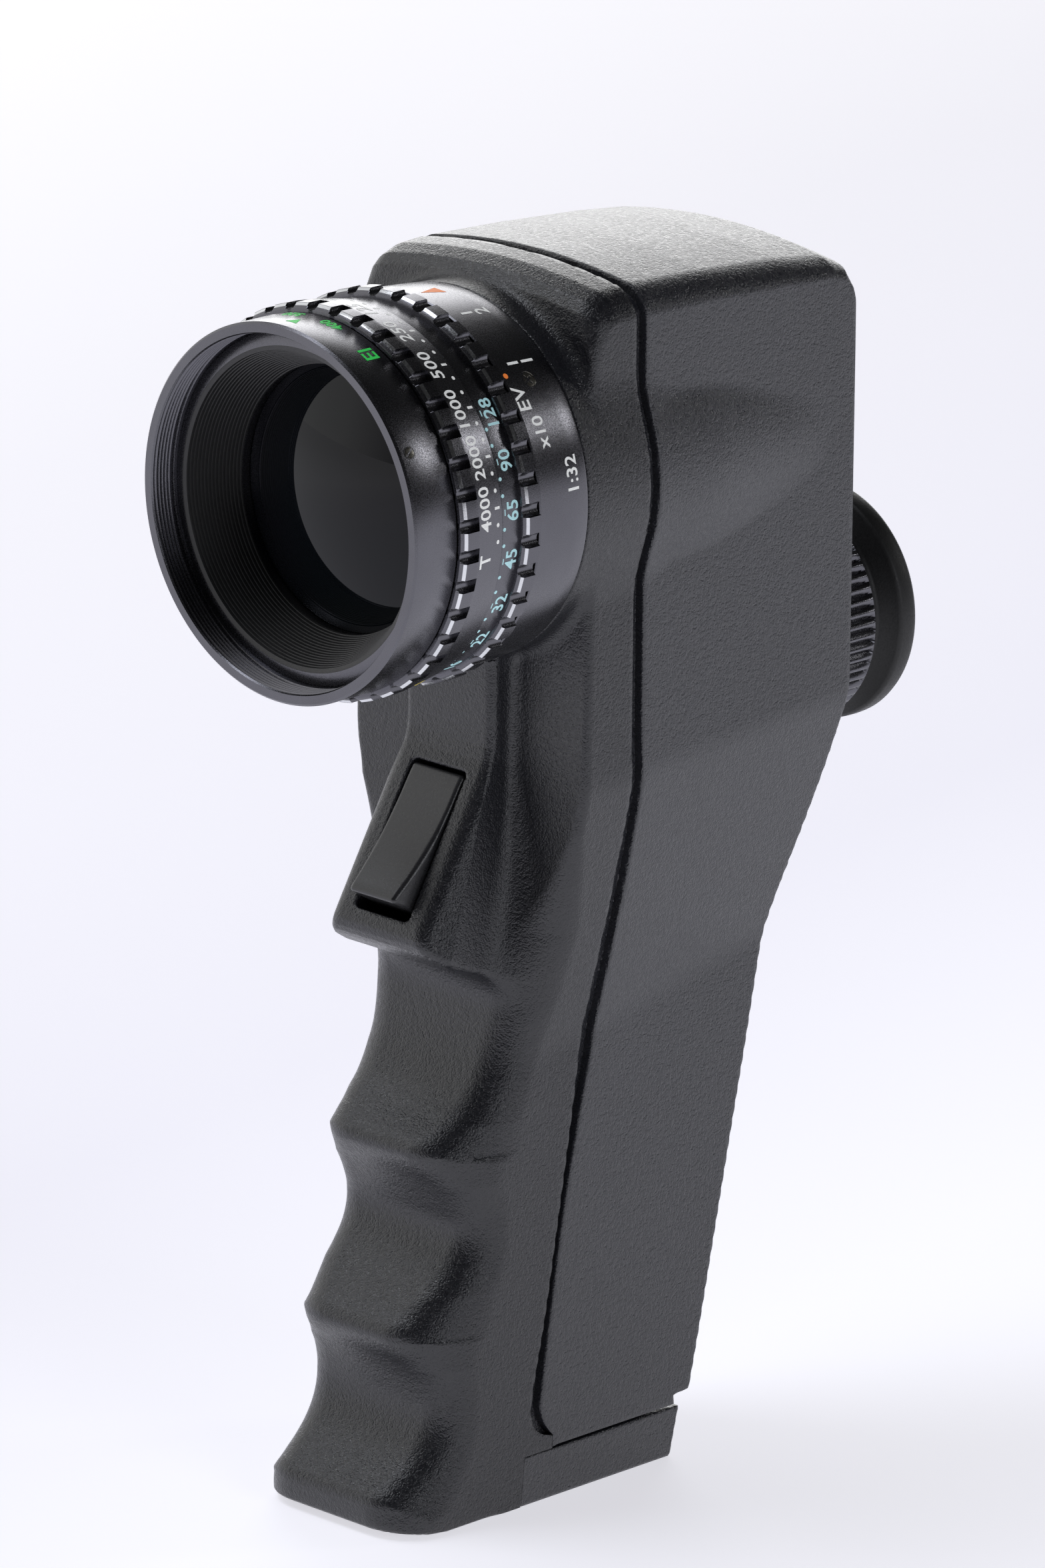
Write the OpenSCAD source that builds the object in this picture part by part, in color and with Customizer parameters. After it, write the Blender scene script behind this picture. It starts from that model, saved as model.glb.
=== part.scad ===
// Hand-held exposure spot meter with a pistol grip.
// Millimetres. +Z up, the lens looks along -Y, the base rests on Z = 0.

/* [Lens barrel] */
// Height of the lens axis above the base
axis_z = 119.5; // [100:0.5:140]
// Y of the front lip of the barrel
lip_y = -30; // [-40:0.5:-20]
// Outer radius of the front barrel
barrel_r = 21.45; // [18:0.05:25]
// Bore radius of the filter thread (40.5 mm thread)
thread_r = 20.05; // [18:0.05:22]
// Length of the filter thread
thread_len = 3.0; // [2:0.1:4]
// Outer radius of the fixed lens tube
tube_r = 18.4; // [16:0.05:20]
// Running clearance of the rings on the lens tube
run_gap = 0.05; // [0.01:0.01:0.1]
// Radius over the grip teeth of both rings
tooth_r = 22.4; // [20:0.05:25]
// Number of grip teeth on each ring
tooth_count = 40; // [20:1:60]
// Radius of the round notch between two teeth
notch_r = 0.8; // [0.3:0.05:1.2]

/* [Body] */
// Half width of the head
head_w = 18.2; // [14:0.1:24]
// Half width of the grip
grip_w = 11.9; // [9:0.1:18]
// Wall thickness of the two shells
wall = 2.4; // [1.6:0.1:4]
// Width of the groove where the shells meet
groove_w = 1.5; // [0.5:0.1:3]
// Height of the lower edge of the side facets
facet_low_z = 57.3; // [45:0.1:70]
// Height of the upper edge of the side facets
facet_high_z = 87; // [70:0.1:100]
// Height of the top of the head on the centre line
top_z = 143; // [130:0.1:160]
// Crown radius across the top of the head
crown_r = 85; // [40:1:200]

/* [Battery door] */
// Thickness of the sliding battery door
door_t = 5.5; // [3:0.1:8]
// Y of the front end of the door
door_front_y = -3; // [-8:0.1:4]
// Gap between the door and the rear shell
door_gap = 0.5; // [0.1:0.05:1]

/* [Trigger] */
// Lean of the trigger face from the vertical, degrees
trigger_lean = 30.7; // [15:0.1:45]
// Width of the trigger
trigger_w = 7; // [4:0.1:12]
// Width of the recess around the trigger
recess_w = 8.6; // [5:0.1:14]
// Radius of the trigger pin
trigger_pin_r = 1.1; // [0.6:0.05:2]

/* [Eyepiece] */
// Height of the eyepiece axis above the base
eye_z = 92.9; // [80:0.1:110]
// Outer radius of the dioptre ring
dioptre_r = 13.3; // [10:0.1:16]
// Outer radius of the rubber eyecup
eyecup_r = 13.9; // [11:0.1:18]
// Number of notches round the dioptre ring
knurl_count = 48; // [24:1:72]

/* [Hidden] */
$fn = 96;
thread_relief = 0.35;
rib_count = 16;
rib_dr = 0.17;
rib_dz = 0.39;
baffle_r = 15.2;
baffle_z = 9.3;
tube_bore_r = 17.4;
tube_front_z = 5.7;
ring_bore_r = tube_r + run_gap;
back_y = 42.7;
tongue_y = 2;
trigger_top = [-3.5, 87.7];
trigger_pivot = [-1.41, 81.81];
plunger_z = 71.8;
// Side outline of the body, (Y, Z), anticlockwise.
side_outline = [
    [-22.2, 0], [door_front_y - 0.2, 0], [door_front_y + 0.4, 9.4], [0.4, door_t + door_gap],
    [22.3, door_t + door_gap], [24.1, 7.6],
    [35.5, 59.5], [42.3, 86.6], [42.7, 89], [42.7, 141.2], [8, 143.4],
    [3.2, 143], [0.6, 140.4], [0.2, 84], [-4.9, 62], [-5.2, 56],
    [-14.5, 43.1], [-18.4, 22.6], [-22.7, 2.8]
];
// Round finger grooves cut in the front of the grip: Y, Z, radius.
finger_grooves = [[-21, 57.5, 15.8], [-24.6, 34.4, 13.6], [-28, 14.2, 12.9]];
// Front outline of the body, (X, Z), anticlockwise.
front_outline = [
    [-grip_w, 0], [grip_w, 0], [grip_w, facet_low_z], [head_w, facet_high_z],
    [head_w, 160], [-head_w, 160], [-head_w, facet_high_z], [-grip_w, facet_low_z]
];
// Front edge of the groove between the shells, (Y, Z), from the top down.
groove_line = [[7.2, 170], [7.2, 70], [5.9, 54], [-0.9, 15.5], [-0.9, 9.4]];
// Screws that hold the shells together: X, Z, Y of the back face there.
shell_screw_at = [[0, 46, 32.5], [-9.5, 73, 38.9], [9.5, 73, 38.9]];
// Angle of the base ring screw and the barrel set screw from the top.
base_screw_angle = 51.6;
set_screw_angle = 60.9;

// ---- helpers ----

function unit(v) = v / norm(v);
function left_of(a, b) = let (d = unit(b - a)) [-d.y, d.x];
function corner_shift(n1, n2) = (n1 + n2) / (1 + n1 * n2);
// Moves every edge of an anticlockwise outline inwards by d.
function inset(p, d) = [
    for (i = [0 : len(p) - 1])
        let (a = p[(i + len(p) - 1) % len(p)], c = p[i], b = p[(i + 1) % len(p)])
        c + d * corner_shift(left_of(a, c), left_of(c, b))
];

// Extrudes a (Y, Z) outline across the full width, centred on X = 0.
module across(width) {
    rotate([90, 0, 90]) linear_extrude(width, center = true) children();
}

// Puts a part made along +Z from the lip onto the lens axis, pointing back.
module on_lens_axis() {
    translate([0, lip_y, axis_z]) rotate([-90, 0, 0]) children();
}

// Puts a part made along +Z onto the eyepiece axis, pointing back.
module on_eye_axis(y) {
    translate([0, y, eye_z]) rotate([-90, 0, 0]) children();
}

module tube(r_out, r_in, z0, z1) {
    translate([0, 0, z0]) difference() {
        cylinder(h = z1 - z0, r = r_out);
        translate([0, 0, -1]) cylinder(h = z1 - z0 + 2, r = r_in);
    }
}

module rod(r, z0, z1) {
    translate([0, 0, z0]) cylinder(h = z1 - z0, r = r);
}

module block(x, y, z) {
    translate([x[0], y[0], z[0]]) cube([x[1] - x[0], y[1] - y[0], z[1] - z[0]]);
}

// ---- body outlines, each moved inwards by d ----

module side_shape(d) {
    difference() {
        polygon(inset(side_outline, d));
        for (g = finger_grooves) translate([g[0], g[1]]) circle(r = g[2] + d);
    }
}

module front_shape(d) {
    intersection() {
        polygon(inset(front_outline, d));
        translate([0, top_z - crown_r]) circle(r = crown_r - d);
    }
}

// Round fairing behind the base ring, standing out of both head sides.
module fairing(d) {
    on_lens_axis() rotate_extrude()
        polygon([[0, 27], [21.2 - d, 27], [20.6 - d, 46], [20 - d, 56],
                 [18.3 - d, 66], [15 - d, 72], [0, 72]]);
}

module body_solid(d) {
    union() {
        intersection() {
            across(80) side_shape(d);
            rotate([90, 0, 0]) linear_extrude(120, center = true) front_shape(d);
        }
        fairing(d);
    }
}

// Everything in front of the groove line moved back by dy.
module before_groove(dy) {
    across(60) polygon(concat(
        [for (p = groove_line) [p.x + dy, p.y]],
        [[-0.9 + dy, -5], [-60, -5], [-60, 170]]));
}

// ---- trigger housing ----

module housing_side() {
    polygon([[3, 100], [-3.5, 100], trigger_top, [-15.1, 68.2], [-14.9, 67.2],
             [-4.6, 61.2], [3, 61.2]]);
}

// Frame on the leaning trigger face: X across, -Y out, -Z down the face.
module on_trigger_face() {
    translate([0, trigger_top.x, trigger_top.y])
        rotate([-trigger_lean, 0, 0]) children();
}

module housing_solid() {
    intersection() {
        across(40) housing_side();
        union() {
            block([-6.9, 6.9], [-20, 3], [84, 100]);
            on_trigger_face() translate([0, 0, -40]) linear_extrude(50)
                polygon([[-6.9, 0], [6.9, 0], [10.4, 5], [10.4, 22],
                         [-10.4, 22], [-10.4, 5]]);
        }
    }
}

module housing_hollow() {
    intersection() {
        across(11) polygon([[9, 96], [0, 96], [-1.2, 86.6], [-11.6, 68.9],
                            [-3.5, 64.2], [9, 64.2]]);
        block([-5.5, 5.5], [-20, 9], [60, 100]);
    }
}

module trigger_recess() {
    on_trigger_face() block([-recess_w / 2, recess_w / 2], [-6, 12], [-20.4, -2.3]);
}

// ---- shells ----

module wall_solid() {
    difference() {
        body_solid(0);
        body_solid(wall);
    }
}

module inner_half_wall() {
    difference() {
        body_solid(wall / 2);
        body_solid(wall);
    }
}

// Posts inside the front shell that the shell screws go into.
module screw_posts() {
    block([-3, 3], [-7.4, 5], [43, 49]);
    for (s = [-1, 1]) block([s * 9.8 - 3.4, s * 9.8 + 3.4], [-1.5, 5], [70, 76]);
}

module front_shell() {
    color([0.13, 0.125, 0.12]) difference() {
        union() {
            intersection() {
                wall_solid();
                before_groove(0);
            }
            difference() {
                housing_solid();
                body_solid(wall);
                on_lens_axis() rod(21.6, 18, 26.95);
            }
            screw_posts();
        }
        difference() {
            inner_half_wall();
            before_groove(-tongue_y);
        }
        housing_hollow();
        trigger_recess();
        on_lens_axis() rod(tube_r + 0.02, 20, 60);
        for (s = [-1, 1]) translate([s * 5.5 - 1, trigger_pivot.x, trigger_pivot.y])
            rotate([0, 90, 0]) cylinder(h = 2, r = trigger_pin_r);
        for (p = shell_screw_at) translate([p.x, 6, p.y])
            rotate([90, 0, 0]) cylinder(h = 5.6, r = 1.05);
    }
}

module door_rail_slots() {
    for (s = [-1, 1]) {
        block([s * 7.3 - 0.8, s * 7.3 + 0.8], [2, 40], [5, 7.6]);
        block([s * 7.9 - 1.5, s * 7.9 + 1.5], [2, 40], [6.6, 7.6]);
    }
}

module rear_shell() {
    color([0.11, 0.115, 0.125]) difference() {
        union() {
            difference() {
                wall_solid();
                before_groove(groove_w);
            }
            difference() {
                intersection() {
                    inner_half_wall();
                    before_groove(groove_w + 0.1);
                }
                before_groove(-tongue_y + 0.05);
                housing_solid();
            }
            for (p = shell_screw_at) translate([p.x, 5.2, p.y])
                rotate([-90, 0, 0]) cylinder(h = p.z - 6.4, r = 3);
        }
        across(60) polygon([[21.9, 5], [21.9, 7.2], [24, 7.4], [30, 7.4], [30, 5]]);
        door_rail_slots();
        on_battery_axis() rod(7.1, 5, 9);
        on_lens_axis() rod(tube_r + 0.02, 20, 48);
        on_eye_axis(30) cylinder(h = 20, r = 9.5);
        for (p = shell_screw_at) translate([p.x, 4, p.y]) rotate([-90, 0, 0]) {
            cylinder(h = 50, r = 1.3);
            translate([0, 0, p.z - 8]) cylinder(h = 40, r = 2.5);
        }
    }
}

module shell_screws() {
    color([0.2, 0.2, 0.21]) for (p = shell_screw_at)
        translate([p.x, 1, p.y]) rotate([-90, 0, 0]) {
            cylinder(h = p.z - 5, r = 1);
            difference() {
                rod(2.2, p.z - 5, p.z - 3.4);
                for (a = [0, 90]) rotate([0, 0, a])
                    block([-1.4, 1.4], [-0.25, 0.25], [p.z - 4.3, p.z]);
            }
        }
}

// ---- battery and door ----

module on_battery_axis() {
    translate([0, 10.5, 0]) children();
}

module battery_door() {
    color([0.12, 0.12, 0.12]) union() {
        across(2 * grip_w) polygon([[door_front_y + 0.15, 0], [21.3, 0],
                                    [22.8, door_t], [0.6, door_t],
                                    [0.2, door_t], [door_front_y + 0.5, door_t]]);
        for (s = [-1, 1]) {
            block([s * 7.3 - 0.7, s * 7.3 + 0.7], [3, 21.6], [door_t - 0.1, 7.5]);
            block([s * 7.9 - 1.3, s * 7.9 + 1.3], [3, 21.6], [6.75, 7.5]);
        }
    }
}

module door_contact() {
    color([0.75, 0.6, 0.3]) block([-4, 4], [4.5, 14.5], [door_t, door_t + 0.3]);
}

module battery() {
    color([0.7, 0.68, 0.6]) on_battery_axis() {
        rod(6.5, 6.5, 30.9);
        rod(3, 30.8, 31.7);
        rod(4.5, door_t + 0.3, 6.6);
    }
}

module battery_tube() {
    color([0.16, 0.16, 0.17]) on_battery_axis() {
        tube(7.6, 6.6, 6 + wall, 36);
        tube(7.6, 1.5, 35.9, 37.2);
    }
}

module battery_spring() {
    color([0.8, 0.8, 0.78]) on_battery_axis() {
        for (i = [0 : 6]) translate([0, 0, 32.05 + i * 0.57]) rotate_extrude()
            translate([2 + i * 0.3, 0]) circle(r = 0.35);
        rod(2, 31.7, 32.1);
    }
}

// ---- trigger ----

module trigger() {
    color([0.14, 0.14, 0.145]) difference() {
        union() {
            on_trigger_face() across(trigger_w) difference() {
                polygon([[0.1, -2.9], [-2.9, -17.6], [-2.6, -18.7], [-1.8, -19.2],
                         [2.4, -19.2], [2.4, -8], [5.4, -5], [4.4, -2.9]]);
                translate([-41.2, -4.5]) circle(r = 41);
            }
            on_trigger_face() across(3) {
                polygon([[1.5, -9.5], [8, -12.5], [8, -14.5], [1.5, -18]]);
                translate([8.4, -13.5]) circle(r = 1.2);
            }
            translate([0, trigger_pivot.x, trigger_pivot.y]) rotate([0, 90, 0])
                cylinder(h = trigger_w, r = 1.9, center = true);
        }
        translate([0, trigger_pivot.x, trigger_pivot.y]) rotate([0, 90, 0])
            cylinder(h = 20, r = trigger_pin_r + run_gap, center = true);
    }
}

module trigger_pin() {
    color([0.6, 0.6, 0.62]) translate([0, trigger_pivot.x, trigger_pivot.y])
        rotate([0, 90, 0]) cylinder(h = 12.9, r = trigger_pin_r, center = true);
}

module trigger_spring() {
    color([0.75, 0.75, 0.75]) translate([0, trigger_pivot.x, trigger_pivot.y])
        for (s = [-1, 1]) for (i = [0 : 1])
            translate([s * (3.9 + i * 0.6), 0, 0]) rotate([0, 90, 0])
                rotate_extrude() translate([trigger_pin_r + 0.32, 0]) circle(r = 0.32);
}

module switch_body() {
    color([0.2, 0.2, 0.22]) difference() {
        union() {
            block([-3, 3], [2.2, 7], [69, 75]);
            block([-6.4, 6.4], [3, 4.8], [70.5, 75.3]);
        }
        translate([0, 1, plunger_z]) rotate([-90, 0, 0]) cylinder(h = 5, r = 1 + run_gap);
    }
}

module switch_plunger() {
    color([0.75, 0.2, 0.15]) translate([0, -1.9, plunger_z]) rotate([-90, 0, 0])
        cylinder(h = 6.4, r = 1);
}

// ---- lens barrel ----

module front_barrel() {
    color([0.12, 0.12, 0.125]) on_lens_axis() difference() {
        rotate_extrude() polygon(concat(
            [[thread_r, 0], [barrel_r - 0.3, 0], [barrel_r, 0.3], [barrel_r, 6.3],
             [ring_bore_r, 6.3], [ring_bore_r, tube_front_z],
             [tube_bore_r - run_gap, tube_front_z], [tube_bore_r - run_gap, baffle_z]],
            [for (i = [0 : rib_count - 1]) each [
                [baffle_r + i * rib_dr, baffle_z - i * rib_dz],
                [baffle_r + i * rib_dr, baffle_z - (i + 1) * rib_dz]]],
            [[18.1, baffle_z - rib_count * rib_dz],
             [thread_r + thread_relief, thread_len + 0.45],
             [thread_r + thread_relief, thread_len], [thread_r, thread_len]]));
        set_screw_at() cylinder(h = 1.6, r = 0.6);
    }
}

// Frame at the set screw, +Z pointing in towards the lens axis.
module set_screw_at() {
    rotate([0, 0, set_screw_angle]) translate([0, -barrel_r - 0.5, 1.5]) rotate([-90, 0, 0])
        children();
}

module barrel_set_screw() {
    color([0.3, 0.3, 0.32]) on_lens_axis() set_screw_at()
        rod(0.6, 0.7, 1.6);
}

// Round notches along the axis between the grip teeth.
module tooth_notches(z0, z1) {
    for (i = [0 : tooth_count - 1]) rotate([0, 0, (i + 0.5) * 360 / tooth_count])
        translate([tooth_r + 0.05, 0, z0]) cylinder(h = z1 - z0, r = notch_r, $fn = 24);
}

module speed_ring() {
    color([0.12, 0.12, 0.125]) on_lens_axis() difference() {
        rotate_extrude() polygon([
            [ring_bore_r, 6.45], [tooth_r - 0.7, 6.45], [tooth_r, 7.05],
            [tooth_r - 0.05, 9], [21.7, 13.05], [ring_bore_r, 13.05]]);
        tooth_notches(6, 8.8);
    }
}

module aperture_ring() {
    color([0.12, 0.12, 0.125]) on_lens_axis() difference() {
        rotate_extrude() polygon([
            [ring_bore_r, 13.2], [21.5, 13.2], [21.4, 16], [tooth_r - 0.6, 16],
            [tooth_r, 16.6], [tooth_r, 18.4], [ring_bore_r, 18.4]]);
        tooth_notches(15.95, 19);
    }
}

module base_ring() {
    color([0.12, 0.12, 0.125]) on_lens_axis() difference() {
        rotate_extrude() polygon([
            [ring_bore_r, 18.6], [21.7, 18.6], [21.9, 18.8], [21.3, 26.6],
            [21.1, 26.9], [ring_bore_r, 26.9]]);
        rotate([0, 0, base_screw_angle]) translate([0, -23, 22.8]) rotate([-90, 0, 0])
            cylinder(h = 6, r = 1.5);
    }
}

module base_screw() {
    color([0.35, 0.33, 0.28]) on_lens_axis() rotate([0, 0, base_screw_angle])
        translate([0, -21.5, 22.8]) rotate([-90, 0, 0]) difference() {
            cylinder(h = 2.5, r = 1.5);
            for (a = [0, 90]) rotate([0, 0, a])
                block([-1, 1], [-0.2, 0.2], [-1, 0.7]);
        }
}

module lens_tube() {
    color([0.16, 0.16, 0.17]) on_lens_axis() difference() {
        tube(tube_r, tube_bore_r, tube_front_z, 41.2);
        rotate([0, 0, base_screw_angle]) translate([0, -23, 22.8]) rotate([-90, 0, 0])
            cylinder(h = 7, r = 1);
    }
}

module lens_retainer() {
    color([0.16, 0.16, 0.17]) on_lens_axis() tube(tube_bore_r, 15.3, 9.4, 10.4);
}

module front_lens() {
    color([0.75, 0.8, 0.85]) on_lens_axis() intersection() {
        rod(tube_bore_r - 0.05, 7, 18);
        translate([0, 0, 7.65 + 42.9]) sphere(r = 42.9);
        translate([0, 0, 14.5 - 82]) sphere(r = 82);
    }
}

module rear_lens() {
    color([0.75, 0.8, 0.85]) on_lens_axis() difference() {
        rod(tube_bore_r - 0.05, 28, 32.5);
        translate([0, 0, 30.2 + 60]) sphere(r = 60);
    }
}

// ---- optics inside the head ----

module chassis() {
    color([0.16, 0.16, 0.17]) union() {
        for (s = [-1, 1]) block([s * 12.5 - 0.6, s * 12.5 + 0.6], [12, 36], [82.4, 131]);
        difference() {
            block([-13.1, 13.1], [11.2, 12.4], [82.4, 136]);
            on_lens_axis() rod(13.5, 30, 60);
        }
        block([-13.1, 13.1], [12, 36], [82.4, 83.9]);
    }
}

module main_mirror() {
    color([0.8, 0.82, 0.84]) translate([0, 24, axis_z]) rotate([45, 0, 0])
        block([-11.9, 11.9], [-13, 13], [-0.7, 0.7]);
}

module lower_prism() {
    color([0.75, 0.8, 0.85]) across(18)
        polygon([[15, eye_z - 9], [33, eye_z - 9], [33, eye_z + 9]]);
}

module field_screen() {
    color([0.8, 0.82, 0.8]) block([-11.9, 11.9], [15, 33], [105, 106.2]);
}

module display_bar() {
    color([0.6, 0.12, 0.1]) block([-7, 7], [15.5, 17.5], [106.2, 109]);
}

module photocell() {
    color([0.3, 0.32, 0.35]) translate([0, 34.2, axis_z]) rotate([-90, 0, 0]) {
        cylinder(h = 1, r = 3);
        rod(4, 0.9, 3);
    }
}

module circuit_board() {
    color([0.1, 0.3, 0.18]) union() {
        block([-15.2, -13.9], [14, 38], [90, 130]);
        block([-13.95, -13.1], [18, 26], [112, 122]);
        block([-15.2, 10], [37.2, 38.6], [107, 132]);
    }
}

// ---- eyepiece ----

module eyepiece_tube() {
    color([0.14, 0.14, 0.145]) on_eye_axis(0) {
        tube(9.5, 8.25, 37, 51);
        tube(11.5, 9.4, back_y, 44.6);
    }
}

module dioptre_ring() {
    color([0.14, 0.14, 0.145]) on_eye_axis(0) difference() {
        tube(dioptre_r, 9.5 + run_gap, 44.8, 52.6);
        for (i = [0 : knurl_count - 1]) rotate([0, 0, i * 360 / knurl_count])
            translate([dioptre_r + 0.2, 0, 44]) cylinder(h = 9, r = 0.55, $fn = 16);
        dioptre_screw_at() cylinder(h = 3, r = 0.7);
    }
}

module dioptre_screw() {
    color([0.4, 0.4, 0.4]) on_eye_axis(0) dioptre_screw_at() rod(0.7, 0, 1.4);
}

// Frame at the dioptre ring's set screw, +Z pointing out from the eye axis.
module dioptre_screw_at() {
    rotate([0, 0, -14]) translate([dioptre_r - 2, 0, 50.4]) rotate([0, 90, 0]) children();
}

module eyecup() {
    color([0.08, 0.08, 0.08]) on_eye_axis(0) rotate_extrude()
        polygon([[9.9, 52.6], [12.6, 52.6], [12.7, 54], [eyecup_r - 0.3, 56.8],
                 [eyecup_r, 57.6], [eyecup_r - 0.5, 58.2], [11.4, 57.4], [9.9, 55.6]]);
}

module eye_cell() {
    color([0.16, 0.16, 0.17]) on_eye_axis(0) {
        tube(8.2, 7.2, 41, 52.4);
        tube(7.3, 6.2, 51.4, 52.4);
    }
}

module eye_lens() {
    color([0.75, 0.8, 0.85]) on_eye_axis(0) intersection() {
        rod(7.2, 46, 51.4);
        translate([0, 0, 46.6 + 20]) sphere(r = 20);
        translate([0, 0, 50.8 - 20]) sphere(r = 20.3);
    }
}

// ---- output ----

front_shell();
rear_shell();
battery_door();
door_contact();
battery();
battery_spring();
battery_tube();
trigger();
trigger_pin();
trigger_spring();
switch_body();
switch_plunger();
front_barrel();
barrel_set_screw();
speed_ring();
aperture_ring();
base_ring();
base_screw();
lens_tube();
front_lens();
lens_retainer();
rear_lens();
chassis();
main_mirror();
lower_prism();
field_screen();
display_bar();
photocell();
circuit_board();
eyepiece_tube();
dioptre_ring();
dioptre_screw();
eyecup();
eye_cell();
eye_lens();
shell_screws();
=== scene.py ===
"""Looks of a pistol-grip exposure spot meter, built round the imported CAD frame.

Shapes are made in millimetres in the part's own frame (+Z up, the lens looks along -Y) and
written to Blender in metres. The moulded pieces are signed distances, negative inside.
"""

import math

import bpy
import numpy as np
from mathutils import Matrix, Vector


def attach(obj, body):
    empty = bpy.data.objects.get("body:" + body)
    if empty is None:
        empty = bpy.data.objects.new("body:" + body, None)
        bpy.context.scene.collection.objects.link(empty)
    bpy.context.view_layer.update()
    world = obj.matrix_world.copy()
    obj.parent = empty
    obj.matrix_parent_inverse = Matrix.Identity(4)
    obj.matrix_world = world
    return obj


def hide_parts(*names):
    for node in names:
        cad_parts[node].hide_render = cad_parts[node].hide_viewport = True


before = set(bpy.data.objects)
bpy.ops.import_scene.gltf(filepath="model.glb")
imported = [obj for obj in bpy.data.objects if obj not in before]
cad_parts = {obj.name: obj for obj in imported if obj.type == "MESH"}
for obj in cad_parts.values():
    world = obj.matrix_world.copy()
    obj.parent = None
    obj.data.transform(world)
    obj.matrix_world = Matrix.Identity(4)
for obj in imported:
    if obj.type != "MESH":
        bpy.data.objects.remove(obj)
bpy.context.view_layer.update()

MM = 0.001
AXIS_Z = 119.5  # lens axis
LIP_Y = -30.0  # front edge of the barrel
EYE_Z = 92.9  # eyepiece axis
HEAD_W = 18.35  # half widths
GRIP_W = 12.1
WALL = 2.4  # thickness of the shells
TUBE_R = 18.42  # room round the lens tube in the shells
RING_BORE = 18.45  # bore of the rings that turn on the lens tube
BARREL_R = 21.45
TRIGGER_TOP = (-3.5, 87.7)  # (y, z) at the top of the trigger's face
TRIGGER_LEAN = math.radians(30.7)
TRIGGER_PIN = (-1.41, 81.81)
TOOTH_R = 22.4
TOOTH_COUNT = 40
TOOTH_PITCH = 360.0 / TOOTH_COUNT
NOTCH_R = 0.8
NOTCH_AT = TOOTH_R + 0.05  # how far the notches' centres are from the lens axis
KNURL_COUNT = 60
STOP = 15.0  # degrees of ring turn for a full stop
THIRDS = (5.0, 10.0)
PAINT_DEPTH = 0.05
FONT_SCALE = 1.38  # font size for a height of 1
STROKE_EXTRA = 0.035  # how far the strokes are widened on each side


# ---- small maths

def smoothstep(a, b, t):
    """A smooth rise from 0 at a to 1 at b."""
    t = np.clip((t - a) / (b - a), 0.0, 1.0)
    return t * t * (3.0 - 2.0 * t)


def soft_min(a, b, k):
    """The lower of two distances, joined by a fillet about k wide."""
    h = np.clip(0.5 + 0.5 * (b - a) / k, 0.0, 1.0)
    return b + (a - b) * h - k * h * (1.0 - h)


def round_max(a, b, r):
    """The overlap of two solids, with its edge rounded to radius r."""
    outside = np.hypot(np.maximum(a + r, 0.0), np.maximum(b + r, 0.0))
    return np.minimum(np.maximum(a, b), -r) + outside


def soft_clamp(t, k):
    """t held between 0 and 1, with both bends rounded over k."""
    low = -soft_min(-t, np.zeros_like(t), k)
    return soft_min(low, np.ones_like(t), k)


def spline(points, steps=8):
    """A Catmull-Rom curve through the points, ends included."""
    p = np.array(points, float)
    p = np.vstack([2 * p[0] - p[1], p, 2 * p[-1] - p[-2]])
    t = np.linspace(0, 1, steps, endpoint=False)[:, None]
    out = []
    for i in range(1, len(p) - 2):
        a, b, c, d = p[i - 1], p[i], p[i + 1], p[i + 2]
        out.append(0.5 * (2 * b + (c - a) * t + (2 * a - 5 * b + 4 * c - d) * t ** 2
                          + (3 * b - a - 3 * c + d) * t ** 3))
    out.append(p[-2:-1])
    return np.vstack(out)


class Map:
    """Signed distance to a closed (Y, Z) outline, negative inside, kept on a fine grid."""
    STEP = 0.25
    LOW = (-34.0, -14.0)
    SIZE = (340, 680)

    def __init__(self, outline=None, values=None):
        self.grid = values if values is not None else self.measure(np.array(outline, float))

    @classmethod
    def plane(cls):
        """The grid's own (Y, Z) coordinates."""
        y = cls.LOW[0] + cls.STEP * np.arange(cls.SIZE[0])
        z = cls.LOW[1] + cls.STEP * np.arange(cls.SIZE[1])
        return np.meshgrid(y, z, indexing="ij")

    @classmethod
    def measure(cls, outline):
        """Distances from the whole grid to the outline."""
        y, z = cls.plane()
        best = np.full(y.shape, 1e9)
        inside = np.zeros(y.shape, bool)
        for a, b in zip(outline, np.roll(outline, -1, axis=0)):
            d = b - a
            length2 = max(d @ d, 1e-12)
            t = np.clip(((y - a[0]) * d[0] + (z - a[1]) * d[1]) / length2, 0, 1)
            best = np.minimum(best, (y - a[0] - t * d[0]) ** 2 + (z - a[1] - t * d[1]) ** 2)
            if a[1] != b[1]:
                crosses = (a[1] > z) != (b[1] > z)
                inside ^= crosses & (y < a[0] + (z - a[1]) * d[0] / d[1])
        return (np.sqrt(best) * np.where(inside, -1, 1)).astype(np.float32)

    def __call__(self, y, z):
        u = np.clip((y - self.LOW[0]) / self.STEP, 0, self.SIZE[0] - 1.001)
        v = np.clip((z - self.LOW[1]) / self.STEP, 0, self.SIZE[1] - 1.001)
        i, j = u.astype(int), v.astype(int)
        fu, fv = u - i, v - j
        g = self.grid
        low = g[i, j] * (1 - fv) + g[i, j + 1] * fv
        high = g[i + 1, j] * (1 - fv) + g[i + 1, j + 1] * fv
        return low * (1 - fu) + high * fu


# ---- meshes

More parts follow.
